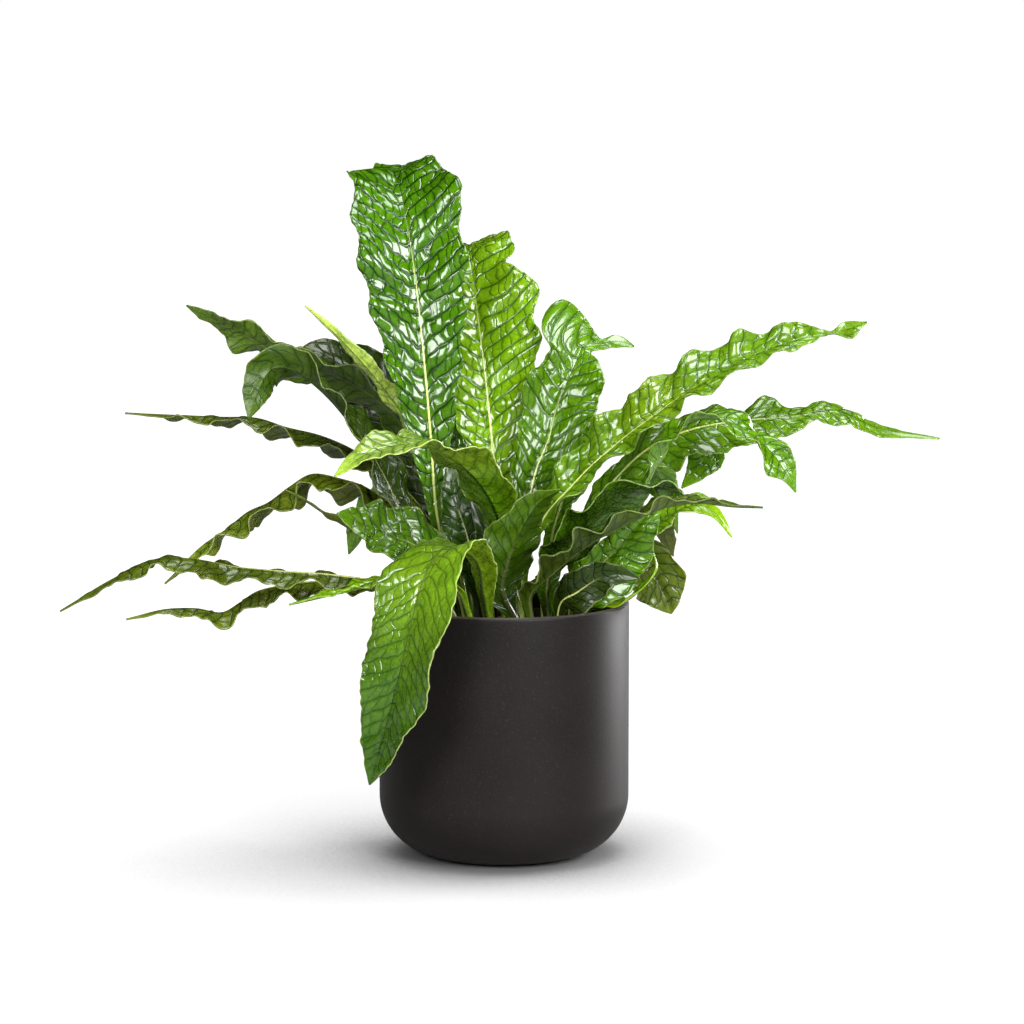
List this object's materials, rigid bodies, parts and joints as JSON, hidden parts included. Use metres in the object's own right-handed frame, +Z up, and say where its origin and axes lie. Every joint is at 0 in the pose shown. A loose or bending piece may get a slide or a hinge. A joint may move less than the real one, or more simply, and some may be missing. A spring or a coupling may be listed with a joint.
{
  "type": "potted crocodile fern",
  "caption": "Potted crocodile fern: wavy strap-shaped fronds with a scale-like net of veins, rising from soil in a nursery pot that stands in a matt black round cover pot.",
  "frame": {"origin": "centre of the cover pot's flat underside", "axes": "+Z up, +X to the right and -Y towards the viewer of the picture, so the fern's widest spread is along X"},
  "size_m": [0.5194, 0.3603, 0.4157],
  "materials": {
    "cover_pot": "matt charcoal ceramic glaze with a fine speckle",
    "nursery_pot": "thin black moulded plastic",
    "soil": "moist crumbly potting soil with bark",
    "rhizome": "brown scaly rhizome",
    "frond_deep": "glossy deep green leaf with a net of sunk veins",
    "frond_mid": "glossy mid green leaf with a net of sunk veins",
    "frond_young": "satin lime green young leaf with a net of sunk veins",
    "frond_dull": "dull olive green old leaf with a net of sunk veins"
  },
  "bodies": {
    "root": {"cover_pot": "cover_pot", "nursery_pot": "nursery_pot", "soil": "soil", "rhizome": "rhizome", "frond_tall_left": "frond_deep", "frond_tall_middle": "frond_young", "frond_upright_right": "frond_mid", "frond_arch_left_front": "frond_young", "frond_short_front": "frond_mid", "frond_drooping_front": "frond_young", "frond_low_left_long": "frond_dull", "frond_low_left_front": "frond_young", "frond_low_left_back": "frond_dull", "frond_left_dipping": "frond_dull", "frond_left_level": "frond_dull", "frond_left_top": "frond_mid", "frond_left_hooked": "frond_deep", "frond_left_broad": "frond_deep", "frond_left_edgewise": "frond_young", "frond_left_front": "frond_mid", "frond_left_sprig": "frond_dull", "frond_right_upper_long": "frond_mid", "frond_right_long": "frond_mid", "frond_right_hanging": "frond_mid", "frond_right_arching": "frond_mid", "frond_right_jagged": "frond_deep", "frond_right_level": "frond_dull", "frond_right_glossy": "frond_mid", "frond_right_over_rim": "frond_dull", "frond_right_low": "frond_deep", "frond_right_thin": "frond_young", "frond_right_curled_tip": "frond_young", "frond_inner_left": "frond_deep", "frond_inner_small": "frond_young", "frond_back_middle": "frond_mid", "frond_back_right": "frond_mid", "frond_back_left": "frond_deep", "frond_back_right_low": "frond_dull", "frond_back_left_low": "frond_mid", "frond_back_drooping": "frond_young"}
  },
  "joints": []
}
